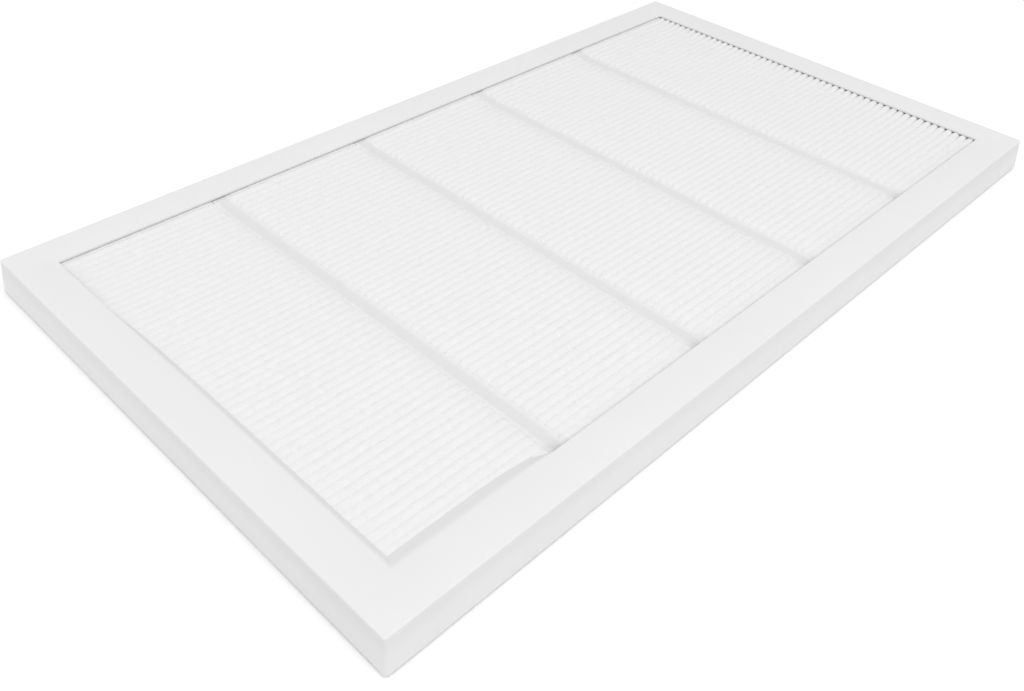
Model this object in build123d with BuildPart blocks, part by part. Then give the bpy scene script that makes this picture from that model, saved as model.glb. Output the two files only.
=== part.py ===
"""HEPA filter panel: a pleated sheet in a flanged white frame, lying face up.

The face looks along +Z and the pleats run along X, the long side. The origin is under the
centre of the panel, on the surface that it lies on. Ends and sides are named as if the
panel stood upright: top is +X, bottom is -X, left is +Y and right is -Y.
"""

import os

from build123d import *

os.makedirs("parts", exist_ok=True)

# Face frame: one moulded shell, with a flat flange round the opening and leaning walls
panel_length = 450.0
panel_width = 255.0
frame_height = 16.5
flange_width = 17.5
flange_thickness = 1.2
wall_thickness = 1.5
wall_lean = 2.0
corner_radius = 1.2
cavity_corner_radius = 1.0
face_edge_radius = 0.8
rim_edge_radius = 0.5
opening_corner_radius = 1.0
opening_edge_radius = 0.4

# Back frame: a flat ring, glued between the walls behind the pleats
back_frame_thickness = 1.5
back_flange_width = 17.5
back_frame_clearance = 0.2

# Foam gasket: four strips on the back frame, which stand a little below the walls
gasket_thickness = 2.0
gasket_width = 10.0
gasket_proud = 0.8
gasket_margin = 1.5

# Pleated sheet: one sheet folded to and fro, with a crest along each front fold
pleat_pitch = 4.2
media_thickness = 0.5
fold_width = 2.3
crest_rise = 0.4
tip_clearance = 0.6

# Boards round the pack, and the glue between them and the walls
board_thickness = 1.5
glue_gap = 2.7

# Separators: glue in shallow troughs across the front folds, and flat beads behind,
# the whole set a little towards the bottom end
separator_pitch = 84.3
separator_offset = -1.8
trough_width = 8.5
trough_depth = 1.8
trough_edge_drop = 0.5
trough_glue_thickness = 1.0
back_bead_width = 5.0
back_bead_thickness = 1.0
back_bead_bevel = 0.5
back_bead_clearance = 0.3

# Heights above the surface that the panel lies on
rim_level = gasket_proud
face_level = rim_level + frame_height
flange_underside = face_level - flange_thickness
pack_bottom = gasket_thickness + back_frame_thickness
tip_level = flange_underside - tip_clearance


def outline_at(level):
    """Length and width over the walls at a height: their lean widens them towards the rim."""
    spread = 2 * wall_lean * (face_level - level) / frame_height
    return panel_length + spread, panel_width + spread


def cavity_at(level, clearance=0.0):
    """Length and width between the walls at a height, less a clearance on every side."""
    length, width = outline_at(level)
    inset = 2 * (wall_thickness + clearance)
    return length - inset, width - inset


# The pack is as long as the frame allows, and has as many whole pleats as its width allows
pack_length, room_for_pleats = cavity_at(flange_underside, board_thickness + glue_gap)
pleat_count = int(room_for_pleats / pleat_pitch)
pack_width = pleat_count * pleat_pitch
boards_length = pack_length + 2 * board_thickness
boards_width = pack_width + 2 * board_thickness

# The face frame: a block with leaning sides, hollowed from behind and cut through the flange
with BuildPart() as face_frame:
    for level in (rim_level, face_level):
        with BuildSketch(Plane.XY.offset(level)):
            RectangleRounded(*outline_at(level), corner_radius)
    loft(ruled=True)
    for level in (rim_level, flange_underside):
        with BuildSketch(Plane.XY.offset(level)):
            RectangleRounded(*cavity_at(level), cavity_corner_radius)
    loft(ruled=True, mode=Mode.SUBTRACT)
    with BuildSketch(Plane.XY.offset(flange_underside)):
        RectangleRounded(
            panel_length - 2 * flange_width,
            panel_width - 2 * flange_width,
            opening_corner_radius,
        )
    extrude(amount=flange_thickness, mode=Mode.SUBTRACT)
    face = face_frame.faces().sort_by(Axis.Z)[-1]
    fillet(face.outer_wire().edges(), face_edge_radius)
    face = face_frame.faces().sort_by(Axis.Z)[-1]
    fillet(face.inner_wires()[0].edges(), opening_edge_radius)
    rim = face_frame.faces().sort_by(Axis.Z)[0]
    fillet(rim.outer_wire().edges(), rim_edge_radius)
face_frame.part.label = "face_frame"
export_step(face_frame.part, "parts/face_frame.step")

# The back frame has the same lean as the walls that it sits between
with BuildPart() as back_frame:
    for level in (gasket_thickness, pack_bottom):
        with BuildSketch(Plane.XY.offset(level)):
            RectangleRounded(*cavity_at(level, back_frame_clearance), cavity_corner_radius)
    loft(ruled=True)
    with BuildSketch(Plane.XY.offset(gasket_thickness)):
        RectangleRounded(
            panel_length - 2 * back_flange_width,
            panel_width - 2 * back_flange_width,
            opening_corner_radius,
        )
    extrude(amount=back_frame_thickness, mode=Mode.SUBTRACT)
back_frame.part.label = "back_frame"
export_step(back_frame.part, "parts/back_frame.step")

# The sheet's two skins are stepped along together, fold by fold, seen along the pleats
half_pitch = pleat_pitch / 2
outer_reach = fold_width / 2
inner_reach = outer_reach - media_thickness
front_skin = []
back_skin = []
for pleat in range(pleat_count):
    middle = (pleat - (pleat_count - 1) / 2) * pleat_pitch
    front_skin += [
        (middle - half_pitch, pack_bottom + media_thickness),
        (middle - half_pitch + inner_reach, pack_bottom + media_thickness),
        (middle - outer_reach, tip_level - crest_rise),
        (middle, tip_level),
        (middle + outer_reach, tip_level - crest_rise),
        (middle + half_pitch - inner_reach, pack_bottom + media_thickness),
    ]
    back_skin += [
        (middle - half_pitch, pack_bottom),
        (middle - half_pitch + outer_reach, pack_bottom),
        (middle - inner_reach, tip_level - crest_rise / 2 - media_thickness),
        (middle + inner_reach, tip_level - crest_rise / 2 - media_thickness),
        (middle + half_pitch - outer_reach, pack_bottom),
    ]
front_skin.append((pack_width / 2, pack_bottom + media_thickness))
back_skin.append((pack_width / 2, pack_bottom))

separator_count = round(pack_length / separator_pitch) - 1
separator_places = [
    separator_offset + (place - (separator_count - 1) / 2) * separator_pitch
    for place in range(separator_count)
]
trough_bed = tip_level - trough_depth - trough_glue_thickness

with BuildPart() as pleated_media:
    with BuildSketch(Plane.YZ.offset(-pack_length / 2)):
        with BuildLine():
            Polyline(*front_skin, *reversed(back_skin), close=True)
        make_face()
    extrude(amount=pack_length)
    with BuildSketch(Plane.XY.offset(trough_bed)):
        with Locations(*[(x, 0) for x in separator_places]):
            Rectangle(trough_width, pack_width)
    extrude(amount=tip_level - trough_bed, mode=Mode.SUBTRACT)
pleated_media.part.label = "pleated_media"
export_step(pleated_media.part, "parts/pleated_media.step")

for number, x in enumerate(separator_places, start=1):
    # The glue fills its trough across all the pleats, with a top that dips in the middle
    with BuildPart() as front_separator:
        with BuildSketch(Plane.XZ.offset(-pack_width / 2)):
            left = x - trough_width / 2
            right = x + trough_width / 2
            shore = tip_level - trough_edge_drop
            with BuildLine():
                Polyline((left, shore), (left, trough_bed), (right, trough_bed), (right, shore))
                ThreePointArc((right, shore), (x, tip_level - trough_depth), (left, shore))
            make_face()
        extrude(amount=pack_width)
    front_separator.part.label = f"front_separator_{number}"
    export_step(front_separator.part, f"parts/front_separator_{number}.step")

    # The bead behind lies on the back folds, between the edges of the back frame
    with BuildPart() as back_separator:
        with BuildSketch(Plane.XY.offset(pack_bottom)):
            with Locations((x, 0)):
                Rectangle(
                    back_bead_width,
                    panel_width - 2 * (back_flange_width + back_bead_clearance),
                )
        extrude(amount=-back_bead_thickness)
        bead_face = back_separator.faces().sort_by(Axis.Z)[0]
        chamfer(bead_face.edges().filter_by(Axis.Y), back_bead_bevel)
    back_separator.part.label = f"back_separator_{number}"
    export_step(back_separator.part, f"parts/back_separator_{number}.step")

# Boards round the pack: the side pair covers the ends of the end pair
board_height = flange_underside - pack_bottom
side_place = (boards_width - board_thickness) / 2
end_place = (boards_length - board_thickness) / 2
boards = {
    "side_board_left": (0, side_place, boards_length, board_thickness),
    "side_board_right": (0, -side_place, boards_length, board_thickness),
    "end_board_top": (end_place, 0, board_thickness, pack_width),
    "end_board_bottom": (-end_place, 0, board_thickness, pack_width),
}
for name, (x, y, length, width) in boards.items():
    with BuildPart() as board:
        with BuildSketch(Plane.XY.offset(pack_bottom)):
            with Locations((x, y)):
                Rectangle(length, width)
        extrude(amount=board_height)
    board.part.label = name
    export_step(board.part, f"parts/{name}.step")

# The glue fills the frame's cavity from the boards out to the walls
with BuildPart() as edge_sealant:
    for level in (rim_level, flange_underside):
        with BuildSketch(Plane.XY.offset(level)):
            RectangleRounded(*cavity_at(level), cavity_corner_radius)
    loft(ruled=True)
    split(bisect_by=Plane.XY.offset(pack_bottom), keep=Keep.TOP)
    with BuildSketch(Plane.XY.offset(pack_bottom)):
        Rectangle(boards_length, boards_width)
    extrude(amount=board_height, mode=Mode.SUBTRACT)
edge_sealant.part.label = "edge_sealant"
export_step(edge_sealant.part, "parts/edge_sealant.step")

# Gasket strips: the side pair runs past the ends of the end pair
gasket_length, gasket_span = cavity_at(rim_level, gasket_margin)
side_place = (gasket_span - gasket_width) / 2
end_place = (gasket_length - gasket_width) / 2
end_strip = gasket_span - 2 * gasket_width
gaskets = {
    "gasket_left": (0, side_place, gasket_length, gasket_width),
    "gasket_right": (0, -side_place, gasket_length, gasket_width),
    "gasket_top": (end_place, 0, gasket_width, end_strip),
    "gasket_bottom": (-end_place, 0, gasket_width, end_strip),
}
for name, (x, y, length, width) in gaskets.items():
    with BuildPart() as gasket:
        with BuildSketch():
            with Locations((x, y)):
                Rectangle(length, width)
        extrude(amount=gasket_thickness)
    gasket.part.label = name
    export_step(gasket.part, f"parts/{name}.step")
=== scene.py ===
import math
import random

import bpy
from mathutils import Matrix, Vector


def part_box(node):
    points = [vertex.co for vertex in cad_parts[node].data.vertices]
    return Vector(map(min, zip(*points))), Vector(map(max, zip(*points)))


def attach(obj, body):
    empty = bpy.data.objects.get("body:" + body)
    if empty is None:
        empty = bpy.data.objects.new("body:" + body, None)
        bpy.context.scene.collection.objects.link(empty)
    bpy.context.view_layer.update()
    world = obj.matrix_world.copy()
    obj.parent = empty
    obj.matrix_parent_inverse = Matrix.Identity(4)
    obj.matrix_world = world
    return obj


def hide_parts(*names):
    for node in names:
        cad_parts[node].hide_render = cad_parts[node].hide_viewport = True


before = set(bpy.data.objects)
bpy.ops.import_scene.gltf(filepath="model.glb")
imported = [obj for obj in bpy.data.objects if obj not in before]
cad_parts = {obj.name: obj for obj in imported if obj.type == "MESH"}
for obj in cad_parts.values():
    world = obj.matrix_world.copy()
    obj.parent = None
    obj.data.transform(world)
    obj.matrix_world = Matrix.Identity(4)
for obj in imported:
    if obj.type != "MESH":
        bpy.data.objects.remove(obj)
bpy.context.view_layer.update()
mm = 0.001

# The pleated sheet is one length of matt white glass-fibre paper, 0.5 mm thick. It is folded
# to and fro on a knife pleater, so its folds are round, a little uneven and run the whole
# length of the panel. The glue lines press the front folds down along four shallow troughs.
pleat_pitch = 4.2 * mm
sheet_thickness = 0.5 * mm
front_fold_half_width = 2.425 * mm
front_fold_height = 1.15 * mm
front_fold_start = 30
back_fold_radius = 1.1 * mm
front_fold_steps = 8
back_fold_steps = 2
quarter_fold_steps = 2
bay_steps = 6
trough_steps = 8
end_steps = 6
end_stretch = 11 * mm
end_margin = 1 * mm
trough_reach = 6.2 * mm
trough_floor_reach = 2.2 * mm
trough_dip = 2.0 * mm
trough_end_fall = 1.25 * mm
trough_end_reach = 5 * mm
trough_far_rise = 1.3 * mm
trough_far_reach = 7 * mm
fold_rise_and_fall = 0.14 * mm
fold_wander = 0.09 * mm
rise_seed = 11
rise_lengths = (47 * mm, 21 * mm, 83 * mm)
wander_seed = 23
wander_lengths = (90 * mm, 38 * mm)
shared_wave_drift = (0.05, 0.16)
own_wave_shortness = 0.8
corner_sag = 0.5 * mm
corner_sag_reach = 7 * mm
corner_sag_fade = 0.8
corner_sag_fade_length = 0.62
sag_flattening = 0.6
end_flattening = 0.65
end_flattening_reach = 9 * mm
most_flattening = 0.8
left_edge_rise = 0.38 * mm
top_edge_rise = 0.58 * mm
edge_rise_reach = 5 * mm
open_fold_reach = 3 * mm
open_fold_depth = 0.6
open_fold_narrowing = 0.1
crisp_edge_angle = math.radians(50)

pack_low, pack_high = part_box("pleated_media")
face_low, face_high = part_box("face_frame")
pleat_count = round((pack_high.y - pack_low.y) / pleat_pitch)
separator_nodes = sorted(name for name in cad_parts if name.startswith("front_separator"))


def middle_of(node):
    low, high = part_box(node)
    return (low + high) / 2


trough_places = [middle_of(node).x for node in separator_nodes]
separator_low, separator_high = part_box("back_separator_1")
opening_half_width = (separator_high.y - separator_low.y) / 2
opening_half_length = opening_half_width + (face_high.x - face_high.y)


def ease(value):
    """A smooth step from 0 to 1."""
    value = min(max(value, 0.0), 1.0)
    return value * value * (3 - 2 * value)


def nearness(distance, reach):
    """1 at an edge of the opening and under its flange, falling to 0 well inside it."""
    return math.exp(-((max(distance, 0.0) / reach) ** 2))


def trough_fall_at(y):
    """The glue lines dive under the flange on the right, and run out shallow on the left."""
    right = nearness(y + opening_half_width, trough_end_reach)
    left = nearness(opening_half_width - y, trough_far_reach)
    return trough_end_fall * right - trough_far_rise * left


def trough_depth_at(x, y):
    """How far the nearest glue line has pressed the front folds down."""
    away = min(abs(x - place) for place in trough_places)
    depth = trough_dip + trough_fall_at(y)
    return depth * ease((trough_reach - away) / (trough_reach - trough_floor_reach))


def corner_sag_at(x, y):
    """The folds lie deeper along the right side, most of all near the bottom end."""
    from_end = x + opening_half_length
    from_side = y + opening_half_width
    fade = ease(from_end / (corner_sag_fade_length * 2 * opening_half_length))
    along_side = 1 - corner_sag_fade * fade
    return corner_sag * along_side * nearness(from_side, corner_sag_reach)


def flattening_at(x, y):
    """How much shallower the front folds are than their full depth, as a share of it."""
    sagging = sag_flattening * corner_sag_at(x, y) / corner_sag
    ending = end_flattening * nearness(x + opening_half_length, end_flattening_reach)
    return min(sagging + ending, most_flattening)


def edge_rise_at(x, y):
    """The folds stand up against the flange along the left side and the top end."""
    left = left_edge_rise * nearness(opening_half_width - y, edge_rise_reach)
    top = top_edge_rise * nearness(opening_half_length - x, edge_rise_reach)
    return max(left, top)


def fold_waves(seed, pleats, lengths):
    """One gentle wave along each fold, from -1 to 1, partly shared with the folds beside it."""
    rng = random.Random(seed)
    shared = [(rng.uniform(0, math.tau), rng.uniform(*shared_wave_drift)) for _ in lengths]
    own = [[rng.uniform(0, math.tau) for _ in lengths] for _ in range(pleats)]

    def wave(pleat, x):
        total = 0.0
        for step, length in enumerate(lengths):
            phase, drift = shared[step]
            total += math.sin(math.tau * x / length + phase + drift * pleat)
            total += math.sin(math.tau * x / (own_wave_shortness * length) + own[pleat][step])
        return total / (2 * len(lengths))

    return wave


def arc(centre_y, centre_z, width, height, start, stop, steps):
    """Points round part of an ellipse in the YZ plane, its angles in degrees from +Y."""
    points = []
    for step in range(steps + 1):
        angle = math.radians(start + (stop - start) * step / steps)
        points.append((centre_y + width * math.cos(angle), centre_z + height * math.sin(angle)))
    return points


def sheet_skins():
    """The sheet's front and back skins as lists of (pleat, y, z), and each pleat's first point."""
    half = pleat_pitch / 2
    front_valley = back_fold_radius - sheet_thickness
    fold_wall = front_fold_half_width * math.cos(math.radians(front_fold_start))
    back_tip_width = fold_wall - sheet_thickness
    back_tip_height = front_fold_height - sheet_thickness
    front, back, front_starts, back_starts = [], [], [], []
    for pleat in range(pleat_count):
        middle = pack_low.y + (pleat + 0.5) * pleat_pitch
        valley_z = pack_low.z + sheet_thickness + front_valley
        fold_z = pack_high.z - front_fold_height
        bed_z = pack_low.z + back_fold_radius
        front_starts.append(len(front))
        back_starts.append(len(back))
        quarter = quarter_fold_steps
        front_run = arc(middle - half, valley_z, front_valley, front_valley, -90, 0, quarter)
        front_run += arc(middle, fold_z, front_fold_half_width, front_fold_height,
                         180 - front_fold_start, front_fold_start, front_fold_steps)
        front_run += arc(middle + half, valley_z, front_valley, front_valley, 180, 270,
                         quarter)[:-1]
        back_run = arc(middle - half, bed_z, back_fold_radius, back_fold_radius, -90, 0, quarter)
        back_run += arc(middle, fold_z, back_tip_width, back_tip_height, 180, 0,
                        back_fold_steps)
        back_run += arc(middle + half, bed_z, back_fold_radius, back_fold_radius, 180, 270,
                        quarter)[:-1]
        front += [(pleat, y, z) for y, z in front_run]
        back += [(pleat, y, z) for y, z in back_run]
    front_starts.append(len(front))
    back_starts.append(len(back))
    front.append((pleat_count - 1, pack_high.y, pack_low.z + sheet_thickness))
    back.append((pleat_count - 1, pack_high.y, pack_low.z))
    return front, back, front_starts, back_starts


def sheet_stations():
    """Places along the pleats where the sheet's section is set, closer where its shape turns."""
    edge = opening_half_length
    marks = [(pack_low.x, 1), (-edge - end_margin, end_steps), (end_stretch - edge, bay_steps)]
    for place in trough_places:
        marks += [(place - trough_reach, trough_steps), (place + trough_reach, bay_steps)]
    marks += [(edge - end_stretch, end_steps), (edge + end_margin, 1), (pack_high.x, 0)]
    places = []
    for (start, steps), (stop, _) in zip(marks[:-1], marks[1:]):
        places += [start + (stop - start) * step / steps for step in range(steps)]
    return places + [pack_high.x]


def make_piece(name, points, faces, sharp_angle=crisp_edge_angle):
    """A smooth-shaded mesh object that stays crisp at its sharper edges."""
    mesh = bpy.data.meshes.new(name)
    mesh.from_pydata(points, [], faces)
    mesh.validate()
    mesh.update()
    mesh.shade_smooth()
    mesh.set_sharp_from_angle(angle=sharp_angle)
    piece = bpy.data.objects.new(name, mesh)
    bpy.context.scene.collection.objects.link(piece)
    return piece


def fold_sheet():
    front, back, front_starts, back_starts = sheet_skins()
    rise = fold_waves(rise_seed, pleat_count, rise_lengths)
    wander = fold_waves(wander_seed, pleat_count, wander_lengths)
    height = pack_high.z - pack_low.z
    stations = sheet_stations()
    points = []
    for x in stations:
        for skin in (front, back):
            for pleat, y, z in skin:
                middle = pack_low.y + (pleat + 0.5) * pleat_pitch
                share = ease((z - pack_low.z) / height)
                opened = nearness(opening_half_length - x, open_fold_reach)
                depth = pack_high.z - z
                if depth < front_fold_height:
                    depth *= 1 + open_fold_depth * opened - flattening_at(x, y)
                fall = fold_rise_and_fall * (1 - opened) * (1 - rise(pleat, x)) / 2
                drop = max(trough_depth_at(x, y), corner_sag_at(x, y)) + fall
                drop -= edge_rise_at(x, y)
                shift = fold_wander * wander(pleat, x) * (1 - 2 * abs(y - middle) / pleat_pitch)
                narrowed = middle + (y - middle) * (1 - open_fold_narrowing * opened * share)
                points.append((x, narrowed + share * shift, pack_high.z - depth - share * drop))
    ring = len(front) + len(back)
    faces = []
    for station in range(len(stations) - 1):
        near = station * ring
        far = near + ring
        for step in range(len(front) - 1):
            faces.append((near + step, near + step + 1, far + step + 1, far + step))
        for step in range(len(front), ring - 1):
            faces.append((near + step + 1, near + step, far + step, far + step + 1))
        faces.append((near + len(front), near, far, far + len(front)))
        last = len(front) - 1
        faces.append((near + last, near + ring - 1, far + ring - 1, far + last))
    for start in (0, (len(stations) - 1) * ring):
        for pleat in range(pleat_count):
            upper = range(front_starts[pleat], front_starts[pleat + 1] + 1)
            lower = range(back_starts[pleat], back_starts[pleat + 1] + 1)
            outline = [start + step for step in upper]
            outline += [start + len(front) + step for step in reversed(lower)]
            faces.append(tuple(outline if start else reversed(outline)))
    return make_piece("folded_sheet", points, faces)


def new_finish(name, colour, roughness):
    """A material whose shader takes constant values on its own sockets."""
    finish = bpy.data.materials.new(name)
    finish.use_nodes = True
    shader = finish.node_tree.nodes["Principled BSDF"]
    shader.inputs["Base Color"].default_value = (*colour, 1)
    shader.inputs["Roughness"].default_value = roughness
    return finish, shader


def noise_in_place(finish, size, detail, stretch=(1, 1, 1)):
    """Noise fixed to the piece, with patches of about the given size in metres."""
    nodes, links = finish.node_tree.nodes, finish.node_tree.links
    place = nodes.new("ShaderNodeTexCoord")
    scaling = nodes.new("ShaderNodeMapping")
    scaling.inputs["Scale"].default_value = stretch
    links.new(place.outputs["Object"], scaling.inputs["Vector"])
    noise = nodes.new("ShaderNodeTexNoise")
    noise.inputs["Scale"].default_value = 1 / size
    noise.inputs["Detail"].default_value = detail
    links.new(scaling.outputs["Vector"], noise.inputs["Vector"])
    return noise.outputs["Fac"]


def shade_between(finish, source, first, last, start=0.3, stop=0.7, socket="Base Color"):
    """Moves the finish's grey, or its roughness, from first to last as the source climbs."""
    nodes, links = finish.node_tree.nodes, finish.node_tree.links
    ramp = nodes.new("ShaderNodeMapRange")
    ramp.inputs["From Min"].default_value = start
    ramp.inputs["From Max"].default_value = stop
    ramp.inputs["To Min"].default_value = first
    ramp.inputs["To Max"].default_value = last
    links.new(source, ramp.inputs["Value"])
    shader = nodes["Principled BSDF"]
    if socket == "Base Color":
        colour = nodes.new("ShaderNodeCombineColor")
        for channel in ("Red", "Green", "Blue"):
            links.new(ramp.outputs["Result"], colour.inputs[channel])
        links.new(colour.outputs["Color"], shader.inputs["Base Color"])
    else:
        links.new(ramp.outputs["Result"], shader.inputs[socket])


def raise_grain(finish, layers):
    """Stacks bump layers, each (height source, depth in metres, strength)."""
    nodes, links = finish.node_tree.nodes, finish.node_tree.links
    under = None
    for source, depth, strength in layers:
        bump = nodes.new("ShaderNodeBump")
        bump.inputs["Distance"].default_value = depth
        bump.inputs["Strength"].default_value = strength
        links.new(source, bump.inputs["Height"])
        if under is not None:
            links.new(under, bump.inputs["Normal"])
        under = bump.outputs["Normal"]
    links.new(under, nodes["Principled BSDF"].inputs["Normal"])


media_greys = (0.76, 0.79)
media_cloud_size = 3 * mm
fibre_size = 0.35 * mm
fibre_stretch = (1, 3, 3)
fibre_depth = 0.06 * mm
cockle_size = 2.5 * mm
cockle_depth = 0.12 * mm

media_finish, media_shader = new_finish("fibre_paper", (0.78, 0.78, 0.78), 0.9)
media_shader.inputs["Specular IOR Level"].default_value = 0.2
media_shader.inputs["Sheen Weight"].default_value = 0.08
shade_between(media_finish, noise_in_place(media_finish, media_cloud_size, 4), *media_greys)
raise_grain(
    media_finish,
    [
        (noise_in_place(media_finish, fibre_size, 3, fibre_stretch), fibre_depth, 0.5),
        (noise_in_place(media_finish, cockle_size, 2), cockle_depth, 0.35),
    ],
)

folded_sheet = fold_sheet()
folded_sheet.data.materials.append(media_finish)
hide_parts("pleated_media")
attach(folded_sheet, "root")

# The front separators are hot-melt glue, run across the folds while they are held apart. The glue
# sinks between the pleats, pulls them down and sets as four smooth, shallow troughs. The glue's
# grey darkens towards each trough's middle: painted shade of the trough.
glue_surface_drop = 1.65 * mm
glue_deepest = 2.6 * mm
glue_edge_rise = 0.75 * mm
glue_between_folds = 0.6 * mm
glue_lean = 0.10 * mm
glue_lean_length = 31 * mm
glue_swell = 0.06 * mm
glue_swell_length = 17 * mm
glue_steps_across = 10
glue_steps_per_pleat = 4
# The glue's own grey at the trough's edges, and the darker grey of the painted shade in its
# middle.
glue_greys_with_painted_shade = (0.81, 0.70)
glue_cloud_size = 9 * mm
glue_dimple_size = 1.6 * mm
glue_dimple_depth = 0.10 * mm


def clouded_painted_shade(finish, size, clouding):
    """How much painted shade the glue gets, kept on its points, with soft clouds of the given size
    added.
    """
    nodes, links = finish.node_tree.nodes, finish.node_tree.links
    painted_shade = nodes.new("ShaderNodeAttribute")
    painted_shade.attribute_name = "glue_painted_shade"
    adding = nodes.new("ShaderNodeMath")
    adding.operation = "MULTIPLY_ADD"
    links.new(noise_in_place(finish, size, 3), adding.inputs[0])
    adding.inputs[1].default_value = clouding
    links.new(painted_shade.outputs["Fac"], adding.inputs[2])
    return adding.outputs[0]


glue_finish, glue_shader = new_finish("set_glue", (0.80, 0.80, 0.80), 0.42)
glue_shader.inputs["Subsurface Weight"].default_value = 0.35
glue_shader.inputs["Subsurface Radius"].default_value = (1, 1, 1)
glue_shader.inputs["Subsurface Scale"].default_value = 1.5 * mm
glue_shader.inputs["Specular IOR Level"].default_value = 0.35
# Paints the trough's shade into the glue's grey.
shade_between(glue_finish, clouded_painted_shade(glue_finish, glue_cloud_size, 0.15), *glue_greys_with_painted_shade,
              start=0.1, stop=0.9)
glue_dimples = noise_in_place(glue_finish, glue_dimple_size, 2)
raise_grain(glue_finish, [(glue_dimples, glue_dimple_depth, 0.3)])


def wrap_rings(points, ring, turned=False):
    """Faces that join equal rings of points, with flat ends. Turned ones look the other way."""
    last = len(points) - ring
    faces = []
    for near in range(0, last, ring):
        far = near + ring
        for step in range(ring):
            after = (step + 1) % ring
            faces.append((near + step, near + after, far + after, far + step))
    faces.append(tuple(reversed(range(ring))))
    faces.append(tuple(range(last, len(points))))
    return [face[::-1] for face in faces] if turned else faces


def pour_trough(node):
    low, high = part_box(node)
    middle = (low.x + high.x) / 2
    half = (high.x - low.x) / 2
    rows = pleat_count * glue_steps_per_pleat
    rng = random.Random(node)
    lean_phase, swell_phase = rng.uniform(0, math.tau), rng.uniform(0, math.tau)
    points = []
    for row in range(rows + 1):
        y = low.y + (high.y - low.y) * row / rows
        lean = glue_lean * math.sin(math.tau * y / glue_lean_length + lean_phase)
        swell = glue_swell * math.sin(math.tau * y / glue_swell_length + swell_phase)
        between = (1 + math.cos(math.tau * (y - low.y) / pleat_pitch)) / 2
        thinned = 1 - nearness(opening_half_width - y, trough_far_reach)
        for step in range(glue_steps_across + 1):
            across = 2 * step / glue_steps_across - 1
            rise = (glue_edge_rise - glue_between_folds * between) * across * across * thinned
            drop = max(glue_surface_drop + trough_fall_at(y), corner_sag_at(middle, y))
            drop = min(drop - edge_rise_at(middle, y), glue_deepest)
            z = pack_high.z - drop + rise + swell
            points.append((middle + half * across, y, z + lean * across))
        points.append((high.x, y, low.z))
        points.append((low.x, y, low.z))
    ring = len(points) // (rows + 1)
    name = node.replace("front_separator", "glue_trough")
    piece = make_piece(name, points, wrap_rings(points, ring))
    # The painted shade is deepest along the trough's middle.
    painted_shade = piece.data.attributes.new("glue_painted_shade", "FLOAT", "POINT")
    for index, (x, y, z) in enumerate(points):
        painted_shade.data[index].value = 1 - ((x - middle) / half) ** 2
    return piece


for node in separator_nodes:
    trough = pour_trough(node)
    trough.data.materials.append(glue_finish)
    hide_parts(node)
    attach(trough, "root")

# Some of the sealing glue has come up to the front round the corner where the bottom end meets the
# right side. It runs from the flange's edge down onto the folds, as one smooth low fillet. Its
# grey darkens from the flange's edge down to the folds: painted shade where the fillet meets the
# pleats.
lap_on_flange = 0.5 * mm
lap_width_right = 8.4 * mm
lap_width_bottom = 4.2 * mm
lap_length_right = 76 * mm
lap_length_bottom = 185 * mm
lap_top_drop = 0.03 * mm
lap_foot_drop = 0.7 * mm
lap_thickness = 0.4 * mm
lap_end_bluntness = 7
lap_ripple = 0.03
lap_ripple_lengths = (34 * mm, 12.7 * mm)
lap_ripple_onset = 1 / 8
# How far across the fillet the painted shade takes to reach its full depth.
lap_shading_reach = 0.25
lap_steps_along = 70
lap_steps_across = 10
lap_ring = lap_steps_across + 3
# The fillet's own grey at the flange, and the darker grey of the painted shade by the folds.
lap_greys_with_painted_shade = (0.75, 0.685)
lap_cloud_size = 9 * mm
lap_dimple_size = 2.2 * mm
lap_dimple_depth = 0.10 * mm


def lap_station(step):
    """The fillet's outer and inner point at a step from the corner, along the right if above 0."""
    share = abs(step) / lap_steps_along
    length = lap_length_right if step > 0 else lap_length_bottom
    waves = [math.sin(math.tau * share * length / wave) for wave in lap_ripple_lengths]
    ripple = lap_ripple * sum(waves) / len(waves) * min(1, share / lap_ripple_onset)
    thinning = 1 - share ** lap_end_bluntness + ripple
    corner = Vector((-opening_half_length, -opening_half_width))
    outer = corner - Vector((lap_on_flange, lap_on_flange))
    if step > 0:
        outer.x += share * length
        inner = corner + Vector((lap_width_bottom + share * (length - lap_width_bottom),
                                 lap_width_right * thinning))
    else:
        outer.y += share * length
        inner = corner + Vector((lap_width_bottom * thinning,
                                 lap_width_right + share * (length - lap_width_right)))
    return outer, inner


def run_glue_lap():
    top = face_high.z - lap_top_drop
    foot = pack_high.z - lap_foot_drop
    points, depths = [], []
    for step in range(-lap_steps_along, lap_steps_along + 1):
        outer, inner = lap_station(step)
        for part in range(lap_steps_across + 1):
            across = part / lap_steps_across
            place = outer.lerp(inner, across)
            pressed = across * trough_depth_at(place.x, place.y)
            points.append((place.x, place.y, top - (top - foot) * ease(across) - pressed))
            depths.append(across)
        points.append((inner.x, inner.y, points[-1][2] - lap_thickness))
        points.append((outer.x, outer.y, foot - lap_thickness))
        depths += [1.0, 0.0]
    last = len(points) - lap_ring
    faces = []
    for near in range(0, last, lap_ring):
        far = near + lap_ring
        for step in range(lap_ring):
            after = (step + 1) % lap_ring
            faces.append((near + step, far + step, far + after, near + after))
    faces.append(tuple(range(lap_ring)))
    faces.append(tuple(reversed(range(last, len(points)))))
    lap = make_piece("sealing_glue_lap", points, faces)
    # The painted shade deepens from the flange's edge towards the folds.
    painted_shade = lap.data.attributes.new("glue_painted_shade", "FLOAT", "POINT")
    for index, depth in enumerate(depths):
        painted_shade.data[index].value = ease(depth / lap_shading_reach)
    return lap


lap_finish, lap_shader = new_finish("sealing_glue", (0.72, 0.72, 0.72), 0.45)
lap_shader.inputs["Specular IOR Level"].default_value = 0.35
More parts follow.
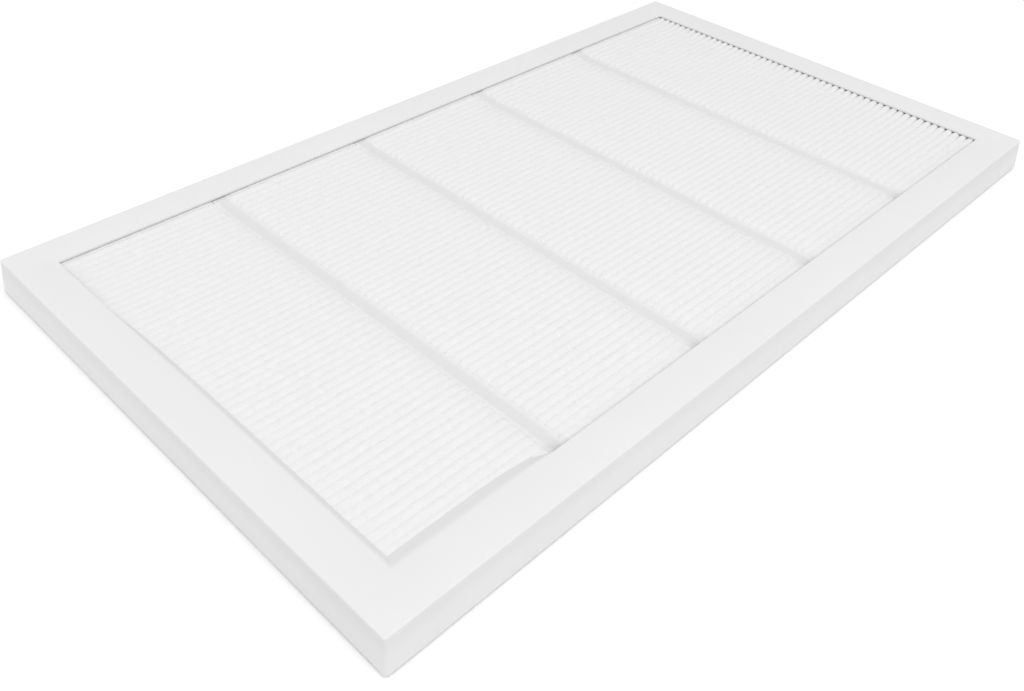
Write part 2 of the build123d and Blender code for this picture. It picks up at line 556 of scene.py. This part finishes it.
# Paints the shade by the folds into the fillet's grey.
shade_between(lap_finish, clouded_painted_shade(lap_finish, lap_cloud_size, 0.25), *lap_greys_with_painted_shade,
              start=0.12, stop=1.2)
lap_dimples = noise_in_place(lap_finish, lap_dimple_size, 2)
raise_grain(lap_finish, [(lap_dimples, lap_dimple_depth, 0.3)])

glue_lap = run_glue_lap()
glue_lap.data.materials.append(lap_finish)
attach(glue_lap, "root")

# The back separators are thinner beads of the same glue, laid across the back folds. Each is
# a flat-bottomed bead with a rounded crown that swells and thins as the nozzle moved.
bead_steps_round = 8
bead_steps_along = 110
bead_swell = 0.12
bead_swell_lengths = (61 * mm, 23 * mm, 11.3 * mm)
bead_end_size = 0.15
bead_taper_rate = 30


def lay_bead(node):
    low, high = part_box(node)
    middle = (low.x + high.x) / 2
    half = (high.x - low.x) / 2
    rng = random.Random(node)
    phases = [rng.uniform(0, math.tau) for _ in bead_swell_lengths]
    points = []
    for station in range(bead_steps_along + 1):
        share = station / bead_steps_along
        y = low.y + (high.y - low.y) * share
        waves = [math.sin(math.tau * y / length + phase)
                 for length, phase in zip(bead_swell_lengths, phases)]
        end_taper = min(1.0, bead_taper_rate * min(share, 1 - share) + bead_end_size)
        swell = bead_swell * (sum(waves) / len(waves) - 1)
        size = (1 + swell) * math.sqrt(end_taper)
        for step in range(bead_steps_round + 1):
            angle = math.pi * step / bead_steps_round
            x = middle + half * size * math.cos(angle)
            z = high.z - (high.z - low.z) * size * math.sin(angle)
            points.append((x, y, z))
    faces = wrap_rings(points, bead_steps_round + 1, turned=True)
    return make_piece(node.replace("separator", "bead"), points, faces)


for node in sorted(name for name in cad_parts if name.startswith("back_separator")):
    bead = lay_bead(node)
    bead.data.materials.append(glue_finish)
    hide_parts(node)
    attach(bead, "root")

# The boards are strips of stiff white non-woven felt, cut to the depth of the pack. They are
# glued along the sides and over the open ends of the pleats, and keep the pack square.
board_greys = (0.79, 0.87)
felt_tuft_size = 1.2 * mm
felt_fibre_size = 0.5 * mm
felt_fibre_depth = 0.15 * mm

board_finish, board_shader = new_finish("felt_board", (0.84, 0.84, 0.83), 0.95)
board_shader.inputs["Sheen Weight"].default_value = 0.15
shade_between(board_finish, noise_in_place(board_finish, felt_tuft_size, 5), *board_greys)
felt_fibres = noise_in_place(board_finish, felt_fibre_size, 4)
raise_grain(board_finish, [(felt_fibres, felt_fibre_depth, 0.6)])


def coat(node, finish):
    """Gives a part from the frame its finish, in place of the plain one it came with."""
    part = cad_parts[node]
    part.data.materials.clear()
    part.data.materials.append(finish)


for node in ("side_board_left", "side_board_right", "end_board_top", "end_board_bottom"):
    coat(node, board_finish)

# The face frame is one shell of satin white plastic, moulded or drawn in one piece. Its wide
# flange has a softly rounded outer edge, and its walls lean out a little towards the rim.
flange_width = 17.5 * mm
flange_thickness = 1.2 * mm
wall_thickness = 1.5 * mm
wall_lean = 2.0 * mm
corner_radius = 1.2 * mm
cavity_corner_radius = 1.0 * mm
face_edge_radius = 0.8 * mm
rim_edge_radius = 0.5 * mm
opening_corner_radius = 1.0 * mm
opening_edge_radius = 0.4 * mm
corner_steps = 8
edge_steps = 6
side_steps = 24
frame_crisp_angle = math.radians(35)
# The greys by height hold painted shade: a painted shadow line along the rim's bottom edge, and
# walls painted darker just under the flange than near the rim. The flange top keeps the plastic's
# own grey.
frame_greys_with_painted_shade = [
    (0.8 * mm, 0.65), (1.3 * mm, 0.67), (1.7 * mm, 0.75), (9.0 * mm, 0.725),
    (14.5 * mm, 0.68), (16.4 * mm, 0.69), (17.1 * mm, 0.753),
]
frame_mottle = 0.02
frame_mottle_size = 45 * mm
frame_gloss = (0.46, 0.58)
frame_gloss_size = 6 * mm
mould_grain_size = 0.4 * mm
mould_grain_depth = 0.02 * mm
mould_wave_size = 35 * mm
mould_wave_depth = 0.5 * mm

face_half_length = face_high.x - wall_lean
face_half_width = face_high.y - wall_lean
frame_height = face_high.z - face_low.z
wall_slope = wall_lean / frame_height


def frame_section():
    """The shell's closed section: (outset from the face outline, height, corner radius)."""
    lean_angle = math.atan(wall_slope)
    section = []
    for step in range(edge_steps + 1):
        angle = lean_angle + (math.pi / 2 - lean_angle) * step / edge_steps
        reach = face_edge_radius * (math.cos(angle) - math.cos(lean_angle))
        fall = face_edge_radius * (1 - math.sin(angle))
        outset = wall_slope * face_edge_radius * (1 - math.sin(lean_angle)) + reach
        section.append((outset, face_high.z - fall, corner_radius + min(reach, 0)))
    opening = -flange_width
    for step in range(edge_steps // 2 + 1):
        angle = math.pi / 2 * step / (edge_steps // 2)
        outset = opening + opening_edge_radius * (1 - math.sin(angle))
        height = face_high.z - opening_edge_radius * (1 - math.cos(angle))
        section.append((outset, height, opening_corner_radius + (opening - outset)))
    underside = face_high.z - flange_thickness
    section.append((opening, underside, opening_corner_radius))
    inner_top = wall_slope * flange_thickness - wall_thickness
    section.append((inner_top, underside, cavity_corner_radius))
    section.append((wall_lean - wall_thickness, face_low.z, cavity_corner_radius))
    rim = wall_lean
    for step in range(edge_steps // 2 + 1):
        angle = math.pi / 2 * step / (edge_steps // 2)
        outset = rim - rim_edge_radius * (1 - math.sin(angle))
        height = face_low.z + rim_edge_radius * (1 - math.cos(angle))
        section.append((outset - wall_slope * (height - face_low.z), height, corner_radius))
    return section


def rounded_loop(half_length, half_width, radius, height):
    """Points round a rounded rectangle, the same number whatever its size."""
    loop = []
    corners = ((1, 1, 0), (-1, 1, 90), (-1, -1, 180), (1, -1, 270))
    for index, (side_x, side_y, start) in enumerate(corners):
        centre = (side_x * (half_length - radius), side_y * (half_width - radius))
        for step in range(corner_steps + 1):
            angle = math.radians(start + 90 * step / corner_steps)
            loop.append((centre[0] + radius * math.cos(angle),
                         centre[1] + radius * math.sin(angle), height))
        next_x, next_y, next_start = corners[(index + 1) % 4]
        arrive = math.radians(next_start)
        target = (next_x * (half_length - radius) + radius * math.cos(arrive),
                  next_y * (half_width - radius) + radius * math.sin(arrive))
        leave = loop[-1]
        for step in range(1, side_steps):
            share = step / side_steps
            loop.append((leave[0] + (target[0] - leave[0]) * share,
                         leave[1] + (target[1] - leave[1]) * share, height))
    return loop


def mould_frame():
    loops = [rounded_loop(face_half_length + outset, face_half_width + outset, radius, height)
             for outset, height, radius in frame_section()]
    count = len(loops[0])
    points = [point for loop in loops for point in loop]
    faces = []
    for index in range(len(loops)):
        near = index * count
        far = (index + 1) % len(loops) * count
        for step in range(count):
            after = (step + 1) % count
            faces.append((near + step, near + after, far + after, far + step))
    return make_piece("moulded_frame", points, faces, frame_crisp_angle)


def shade_by_height(finish, stops, mottle, mottle_size):
    """A grey that follows the height, given as (height, grey) pairs, with faint mottling. On the
    frame it paints shade: the walls darker under the flange, and a shadow along the rim.
    """
    nodes, links = finish.node_tree.nodes, finish.node_tree.links
    place = nodes.new("ShaderNodeTexCoord")
    parts = nodes.new("ShaderNodeSeparateXYZ")
    links.new(place.outputs["Object"], parts.inputs["Vector"])
    low, high = stops[0][0], stops[-1][0]
    share = nodes.new("ShaderNodeMapRange")
    share.inputs["From Min"].default_value = low
    share.inputs["From Max"].default_value = high
    links.new(parts.outputs["Z"], share.inputs["Value"])
    ramp = nodes.new("ShaderNodeValToRGB")
    while len(ramp.color_ramp.elements) < len(stops):
        ramp.color_ramp.elements.new(0.5)
    for element, (height, grey) in zip(ramp.color_ramp.elements, stops):
        element.position = (height - low) / (high - low)
        element.color = (grey, grey, grey, 1)
    links.new(share.outputs["Result"], ramp.inputs["Fac"])
    veil = nodes.new("ShaderNodeMix")
    veil.data_type = "RGBA"
    veil.blend_type = "MULTIPLY"
    veil.inputs["Factor"].default_value = 1.0
    links.new(ramp.outputs["Color"], veil.inputs["A"])
    grey = nodes.new("ShaderNodeMapRange")
    grey.inputs["To Min"].default_value = 1 - mottle
    grey.inputs["To Max"].default_value = 1 + mottle
    links.new(noise_in_place(finish, mottle_size, 2), grey.inputs["Value"])
    links.new(grey.outputs["Result"], veil.inputs["B"])
    links.new(veil.outputs["Result"], nodes["Principled BSDF"].inputs["Base Color"])


frame_finish, frame_shader = new_finish("satin_white_plastic", (0.75, 0.75, 0.75), 0.5)
frame_shader.inputs["Specular IOR Level"].default_value = 0.35
# The frame's grey follows its height, with painted shade under the flange and a painted shadow
# along the rim.
shade_by_height(frame_finish, frame_greys_with_painted_shade, frame_mottle, frame_mottle_size)
shade_between(frame_finish, noise_in_place(frame_finish, frame_gloss_size, 4), *frame_gloss,
              socket="Roughness")
raise_grain(
    frame_finish,
    [
        (noise_in_place(frame_finish, mould_grain_size, 2), mould_grain_depth, 0.4),
        (noise_in_place(frame_finish, mould_wave_size, 1), mould_wave_depth, 0.25),
    ],
)

moulded_frame = mould_frame()
moulded_frame.data.materials.append(frame_finish)
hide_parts("face_frame")
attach(moulded_frame, "root")

# The sealant is off-white glue, poured round the pack from behind. It joins the boards to the
# walls all round, and closes every way past the sheet.
sealant_greys = (0.78, 0.84)
sealant_cloud_size = 12 * mm
sealant_ripple_size = 4 * mm
sealant_ripple_depth = 0.3 * mm

sealant_finish, _ = new_finish("poured_sealant", (0.82, 0.82, 0.80), 0.4)
shade_between(sealant_finish, noise_in_place(sealant_finish, sealant_cloud_size, 3),
              *sealant_greys)
sealant_ripples = noise_in_place(sealant_finish, sealant_ripple_size, 2)
raise_grain(sealant_finish, [(sealant_ripples, sealant_ripple_depth, 0.4)])
coat("edge_sealant", sealant_finish)

# The back frame is a flat ring of the same white plastic, pressed in between the walls on top
# of the sealant. It holds the pack down and gives the gasket a flat bed.
coat("back_frame", frame_finish)

# The gasket is four strips of white closed-cell foam with a sticky back, cut square and butted
# at the corners. The foam is soft, so its free edges are rounded and its face isn't quite flat.
foam_edge_radius = 0.7 * mm
foam_edge_steps = 4
foam_steps_along = 60
foam_unevenness = 0.08 * mm
foam_wave_lengths = (47 * mm, 19 * mm)
foam_greys = (0.79, 0.86)
foam_cloud_size = 1.5 * mm
foam_cell_size = 0.6 * mm
foam_cell_depth = 0.12 * mm

foam_finish, foam_shader = new_finish("closed_cell_foam", (0.84, 0.84, 0.84), 0.9)
foam_shader.inputs["Specular IOR Level"].default_value = 0.2
shade_between(foam_finish, noise_in_place(foam_finish, foam_cloud_size, 4), *foam_greys)


def foam_cells(finish, size):
    """Rounded cells, fixed to the piece, as the height of the foam's cut face."""
    nodes, links = finish.node_tree.nodes, finish.node_tree.links
    place = nodes.new("ShaderNodeTexCoord")
    cells = nodes.new("ShaderNodeTexVoronoi")
    cells.inputs["Scale"].default_value = 1 / size
    links.new(place.outputs["Object"], cells.inputs["Vector"])
    return cells.outputs["Distance"]


raise_grain(foam_finish, [(foam_cells(foam_finish, foam_cell_size), foam_cell_depth, 0.6)])


def cut_gasket(node):
    low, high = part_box(node)
    size = high - low
    along_x = size.x > size.y
    length, width = (size.x, size.y) if along_x else (size.y, size.x)
    middle = (low + high) / 2
    rng = random.Random(node)
    phases = [rng.uniform(0, math.tau) for _ in foam_wave_lengths]
    radius = foam_edge_radius
    section = [(-width / 2, high.z)]
    for step in range(foam_edge_steps + 1):
        angle = math.pi / 2 * step / foam_edge_steps
        section.append((-width / 2 + radius * (1 - math.cos(angle)),
                        low.z + radius * (1 - math.sin(angle))))
    for step in range(foam_edge_steps + 1):
        angle = math.pi / 2 * (1 - step / foam_edge_steps)
        section.append((width / 2 - radius * (1 - math.cos(angle)),
                        low.z + radius * (1 - math.sin(angle))))
    section.append((width / 2, high.z))
    points = []
    for station in range(foam_steps_along + 1):
        along = length * (station / foam_steps_along - 0.5)
        waves = [math.sin(math.tau * along / wave + phase)
                 for wave, phase in zip(foam_wave_lengths, phases)]
        swell = (1 + sum(waves) / len(waves)) / 2
        for across, height in section:
            lift = foam_unevenness * swell * (high.z - height) / (high.z - low.z)
            place = (along, across) if along_x else (-across, along)
            points.append((middle.x + place[0], middle.y + place[1], height + lift))
    faces = wrap_rings(points, len(section))
    return make_piece(node.replace("gasket", "foam_strip"), points, faces)


for node in ("gasket_left", "gasket_right", "gasket_top", "gasket_bottom"):
    strip = cut_gasket(node)
    strip.data.materials.append(foam_finish)
    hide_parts(node)
    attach(strip, "root")

# The studio is a wide pale floor under an even white sky, with two large soft lamps: one over
# the panel's right side, and a weaker one beyond its bottom end. The floor looks white from
# the camera but keeps the panel's shadow.
floor_half = 3.0
floor_colour = 0.95
floor_lift = 0.03
sky_strength = 0.78
lamps = {
    "main_lamp": {"place": Vector((-0.17, -0.60, 1.12)), "size": 1.2, "power": 7.0},
    "end_lamp": {"place": Vector((-0.68, 0.42, 0.36)), "size": 0.4, "power": 0.55},
}

floor_mesh = bpy.data.meshes.new("studio_floor")
floor_mesh.from_pydata(
    [(-floor_half, -floor_half, 0), (floor_half, -floor_half, 0),
     (floor_half, floor_half, 0), (-floor_half, floor_half, 0)],
    [], [(0, 1, 2, 3)],
)
studio_floor = bpy.data.objects.new("studio_floor", floor_mesh)
bpy.context.scene.collection.objects.link(studio_floor)


def seen_directly(tree):
    """1 for rays from the camera, a gloss or a glass, and 0 for the light that surfaces share."""
    path = tree.nodes.new("ShaderNodeLightPath")
    total = path.outputs["Is Camera Ray"]
    for kind in ("Is Glossy Ray", "Is Transmission Ray"):
        adding = tree.nodes.new("ShaderNodeMath")
        adding.operation = "MAXIMUM"
        tree.links.new(total, adding.inputs[0])
        tree.links.new(path.outputs[kind], adding.inputs[1])
        total = adding.outputs[0]
    return total


floor_finish, floor_shader = new_finish("pale_floor", (floor_colour,) * 3, 1.0)
floor_shader.inputs["Specular IOR Level"].default_value = 0.0
floor_shader.inputs["Emission Color"].default_value = (1, 1, 1, 1)
floor_tree = floor_finish.node_tree
lifting = floor_tree.nodes.new("ShaderNodeMath")
lifting.operation = "MULTIPLY"
lifting.inputs[1].default_value = floor_lift
floor_tree.links.new(seen_directly(floor_tree), lifting.inputs[0])
floor_tree.links.new(lifting.outputs[0], floor_shader.inputs["Emission Strength"])
floor_mesh.materials.append(floor_finish)

sky = bpy.data.worlds.new("studio_sky")
sky.use_nodes = True
bpy.context.scene.world = sky
sky_tree = sky.node_tree
sky_shader = sky_tree.nodes["Background"]
sky_shader.inputs["Color"].default_value = (1, 1, 1, 1)
sky_level = sky_tree.nodes.new("ShaderNodeMapRange")
sky_level.inputs["To Min"].default_value = sky_strength
sky_level.inputs["To Max"].default_value = 1.0
sky_tree.links.new(seen_directly(sky_tree), sky_level.inputs["Value"])
sky_tree.links.new(sky_level.outputs["Result"], sky_shader.inputs["Strength"])

for lamp_name, lamp in lamps.items():
    lamp_data = bpy.data.lights.new(lamp_name, "AREA")
    lamp_data.shape = "SQUARE"
    lamp_data.size = lamp["size"]
    lamp_data.energy = lamp["power"]
    soft_lamp = bpy.data.objects.new(lamp_name, lamp_data)
    soft_lamp.location = lamp["place"]
    soft_lamp.rotation_euler = (-lamp["place"]).to_track_quat("-Z", "Y").to_euler()
    bpy.context.scene.collection.objects.link(soft_lamp)

# The camera stands over the corner where the bottom end meets the right side, and looks down
# across the panel. Its place, aim and roll are those of the photograph.
camera_place = Vector((-0.3205, -0.2597, 0.2701))
camera_aim = Vector((-0.1037, -0.0599, 0.0173))
camera_roll = math.radians(3.12)
camera_lens = 34.46

camera_data = bpy.data.cameras.new("camera")
camera_data.lens = camera_lens
camera_data.sensor_width = 36.0
camera_data.clip_start = 0.01
camera = bpy.data.objects.new("camera", camera_data)
facing = (camera_aim - camera_place).to_track_quat("-Z", "Y").to_matrix()
camera.matrix_world = (Matrix.Translation(camera_place)
                       @ (facing @ Matrix.Rotation(camera_roll, 3, "Z")).to_4x4())
bpy.context.scene.collection.objects.link(camera)
bpy.context.scene.camera = camera
bpy.context.scene.view_settings.view_transform = "Standard"
